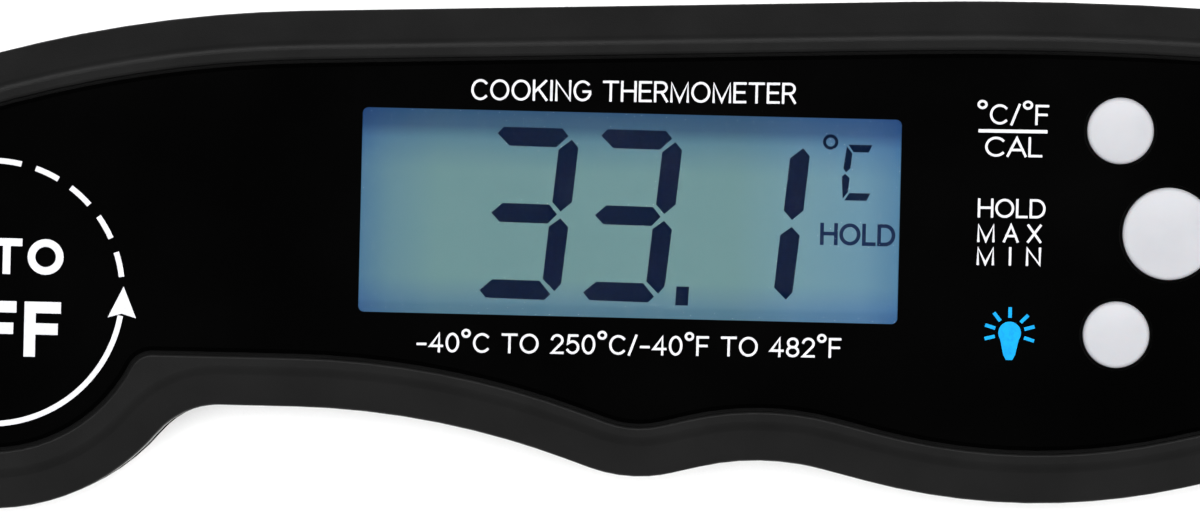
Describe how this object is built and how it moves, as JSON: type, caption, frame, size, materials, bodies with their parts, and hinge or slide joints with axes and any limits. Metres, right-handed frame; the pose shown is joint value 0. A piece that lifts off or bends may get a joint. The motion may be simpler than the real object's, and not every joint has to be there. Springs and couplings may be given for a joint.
{
  "type": "meat thermometer",
  "caption": "Pocket meat thermometer: black two-part case with a large display, white push buttons, a glossy panel and a steel probe that folds into a slot along its side.",
  "frame": {"origin": "on the probe's pivot axis, in the plane of the flat back", "axes": "+X runs along the body away from the pivot, +Y towards the straight long edge, +Z out of the display"},
  "size_m": [0.2745, 0.0455, 0.0203],
  "materials": {
    "shell": "fine satin texture, black",
    "panel": "high gloss, black",
    "window": "clear gloss acrylic",
    "adhesive": "thin black film",
    "lcd": "satin grey-green display",
    "inner_plastic": "moulded",
    "light_guide": "frosted white",
    "board": "solder resist over glass epoxy",
    "chip": "moulded epoxy",
    "contact_metal": "plated spring strip",
    "screw_steel": "plated",
    "battery_steel": "nickel plated can",
    "button_white": "satin white",
    "seal_rubber": "soft, matt",
    "magnet": "nickel plated",
    "reed_glass": "clear tube",
    "lead_cover": "smooth",
    "washer_plastic": "slippery acetal",
    "hub": "fine satin texture, black",
    "probe_steel": "polished along its length",
    "bead": "glazed"
  },
  "bodies": {
    "housing": {"front_housing": "shell", "rear_housing": "shell", "face_panel": "panel", "display_window": "window", "panel_adhesive": "adhesive", "lcd_cell": "lcd", "lcd_frame": "inner_plastic", "backlight_guide": "light_guide", "backlight_leds": "light_guide", "zebra_strip": "seal_rubber", "circuit_board": "board", "microcontroller": "chip", "board_components": "chip", "board_screws": "screw_steel", "switch_bases": "contact_metal", "keypad_sheet": "seal_rubber", "coin_cell": "battery_steel", "battery_holder": "inner_plastic", "battery_contact_positive": "contact_metal", "battery_contact_negative": "contact_metal", "rear_magnets": "magnet", "housing_seal": "seal_rubber", "housing_screws": "screw_steel", "reed_switch": "reed_glass", "sensor_lead": "lead_cover", "pivot_washer": "washer_plastic"},
    "probe": {"hub_front_half": "hub", "hub_rear_half": "hub", "hub_screws": "screw_steel", "hub_seal_front": "seal_rubber", "hub_seal_rear": "seal_rubber", "hub_magnet": "magnet", "probe_tube": "probe_steel", "probe_collar": "probe_steel", "probe_tip": "probe_steel", "thermistor": "bead", "probe_lead": "lead_cover"},
    "unit_button": {"unit_button": "button_white"},
    "hold_button": {"hold_button": "button_white"},
    "light_button": {"light_button": "button_white"},
    "cover_ring": {"battery_cover_seal": "seal_rubber"},
    "cover": {"battery_cover": "shell"}
  },
  "joints": [
    {"name": "probe_fold", "type": "hinge", "parent": "housing", "child": "probe", "pos_m": [0, 0, 0.008], "axis": [0, 0, 1], "range_deg": [0, 180]},
    {"name": "unit_press", "type": "slide", "parent": "housing", "child": "unit_button", "axis": [0, 0, -1], "range_m": [0, 0.0005], "stiffness_N_per_m": 800},
    {"name": "hold_press", "type": "slide", "parent": "housing", "child": "hold_button", "axis": [0, 0, -1], "range_m": [0, 0.0005], "stiffness_N_per_m": 800},
    {"name": "light_press", "type": "slide", "parent": "housing", "child": "light_button", "axis": [0, 0, -1], "range_m": [0, 0.0005], "stiffness_N_per_m": 800},
    {"name": "cover_lift", "type": "slide", "parent": "housing", "child": "cover_ring", "axis": [0, 0, -1], "range_m": [0, 0.003]},
    {"name": "cover_turn", "type": "hinge", "parent": "cover_ring", "child": "cover", "pos_m": [0.093, 0.0095, 0], "axis": [0, 0, -1], "range_deg": [0, 720]}
  ],
  "couplings": [
    {"joint": "cover_turn", "follows": "cover_lift", "rad_per_m": 4188.8}
  ]
}
